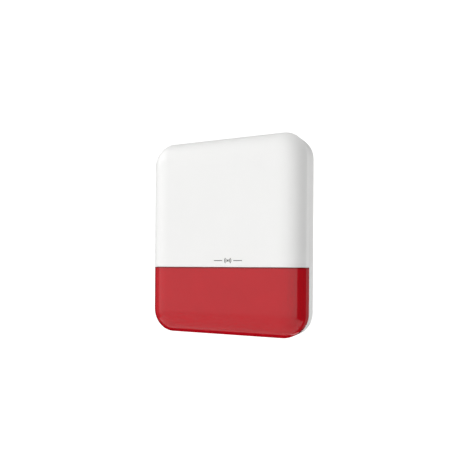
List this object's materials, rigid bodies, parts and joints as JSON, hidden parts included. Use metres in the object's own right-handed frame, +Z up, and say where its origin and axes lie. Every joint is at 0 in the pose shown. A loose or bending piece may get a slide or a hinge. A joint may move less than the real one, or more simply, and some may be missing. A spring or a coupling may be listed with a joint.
{
  "type": "alarm siren",
  "caption": "Wall alarm siren: white rounded cover over a red strobe lens, hinged on a base that holds horn, battery cells, boards and tamper switches.",
  "frame": {"origin": "centre of the base's back face, which lies on the wall", "axes": "+Z up the wall, +Y into the wall, -Y out towards the viewer, +X to the viewer's right"},
  "size_m": [0.188, 0.0394, 0.22],
  "materials": {
    "white_cover": "satin, UV-stable",
    "white_base": "satin",
    "red_lens": "glossy translucent red",
    "black_plastic": "fine texture",
    "ivory_plastic": "satin",
    "red_button": "satin",
    "green_plastic": "satin",
    "steel_screw": "zinc plated",
    "spring_steel": "nickel plated",
    "brass": "bright",
    "ceramic": "silvered",
    "black_rubber": "soft",
    "circuit_board": "solder mask",
    "strobe_board": "white solder mask",
    "chip_black": "moulded",
    "shield_can": "tinned",
    "capacitor_can": "sleeved",
    "ferrite": "raw ferrite",
    "lamp_clear": "clear epoxy",
    "bright_reflector": "metallised plastic",
    "flat_cable": "polyester film",
    "wire_red": "PVC",
    "wire_black": "PVC",
    "cell_sleeve": "shrink sleeve",
    "vial_clear": "clear acrylic",
    "vial_liquid": "tinted spirit"
  },
  "bodies": {
    "base": {"aerial_foot": "brass", "base_tray": "white_base", "battery_contacts": "spring_steel", "battery_holder_left": "black_plastic", "battery_holder_right": "black_plastic", "battery_lead_black": "wire_black", "battery_lead_red": "wire_red", "battery_springs": "spring_steel", "board_chips": "chip_black", "board_screws": "steel_screw", "boost_coil": "ferrite", "cable_grommet": "black_rubber", "capacitors": "capacitor_can", "cell_left_lower": "cell_sleeve", "cell_left_upper": "cell_sleeve", "cell_right_lower": "cell_sleeve", "cell_right_upper": "cell_sleeve", "flat_cable": "flat_cable", "helical_aerial": "brass", "level_liquid": "vial_liquid", "level_vial": "vial_clear", "main_board": "circuit_board", "pair_switch": "black_plastic", "piezo_ceramic": "ceramic", "piezo_plate": "brass", "power_switch": "black_plastic", "radio_shield": "shield_can", "screw_insert": "brass", "siren_back_cap": "black_plastic", "siren_grille": "black_plastic", "siren_horn": "black_plastic", "siren_lead_black": "wire_black", "siren_lead_red": "wire_red", "siren_screws": "steel_screw", "siren_seal": "black_rubber", "status_lamp": "lamp_clear", "strobe_board": "strobe_board", "strobe_lamps": "lamp_clear", "strobe_reflector": "bright_reflector", "strobe_screws": "steel_screw", "tamper_spring": "spring_steel", "tamper_switch": "black_plastic", "terminal_block": "green_plastic", "terminal_screws": "steel_screw", "wall_spring": "spring_steel", "wall_switch": "black_plastic", "wire_sockets": "ivory_plastic"},
    "cover": {"front_cover": "white_cover", "strobe_lens": "red_lens", "lens_screws": "steel_screw"},
    "retaining_washer": {"screw_washer": "steel_screw"},
    "locking_screw": {"cover_screw": "steel_screw"},
    "cover_tamper_plunger": {"tamper_plunger": "ivory_plastic"},
    "wall_tamper_plunger": {"wall_plunger": "ivory_plastic"},
    "power_slider": {"power_slider": "ivory_plastic"},
    "pairing_button": {"pair_button": "red_button"}
  },
  "joints": [
    {"name": "cover_swing", "type": "hinge", "parent": "base", "child": "cover", "pos_m": [0, -0.008, 0.1055], "axis": [-1, 0, 0], "range_deg": [0, 60]},
    {"name": "screw_travel", "type": "slide", "parent": "base", "child": "retaining_washer", "axis": [0, 0, -1], "range_m": [0, 0.0028]},
    {"name": "screw_turn", "type": "hinge", "parent": "retaining_washer", "child": "locking_screw", "pos_m": [0, -0.0085, -0.105], "axis": [0, 0, -1], "range_deg": [0, 1440]},
    {"name": "cover_tamper", "type": "slide", "parent": "base", "child": "cover_tamper_plunger", "axis": [0, -1, 0], "range_m": [0, 0.002], "deforming": ["tamper_spring"]},
    {"name": "wall_tamper", "type": "slide", "parent": "base", "child": "wall_tamper_plunger", "axis": [0, 1, 0], "range_m": [0, 0.0025], "stiffness_N_per_m": 60, "springref_m": 0.005, "deforming": ["wall_spring"]},
    {"name": "power_switch", "type": "slide", "parent": "base", "child": "power_slider", "axis": [1, 0, 0], "range_m": [0, 0.0035]},
    {"name": "pairing_press", "type": "slide", "parent": "base", "child": "pairing_button", "axis": [0, 1, 0], "range_m": [0, 0.0003], "stiffness_N_per_m": 2000}
  ],
  "couplings": [
    {"joint": "screw_turn", "follows": "screw_travel", "rad_per_m": 8975},
    {"joint": "cover_tamper", "follows": "cover_swing", "m_per_rad": 0.0019}
  ]
}
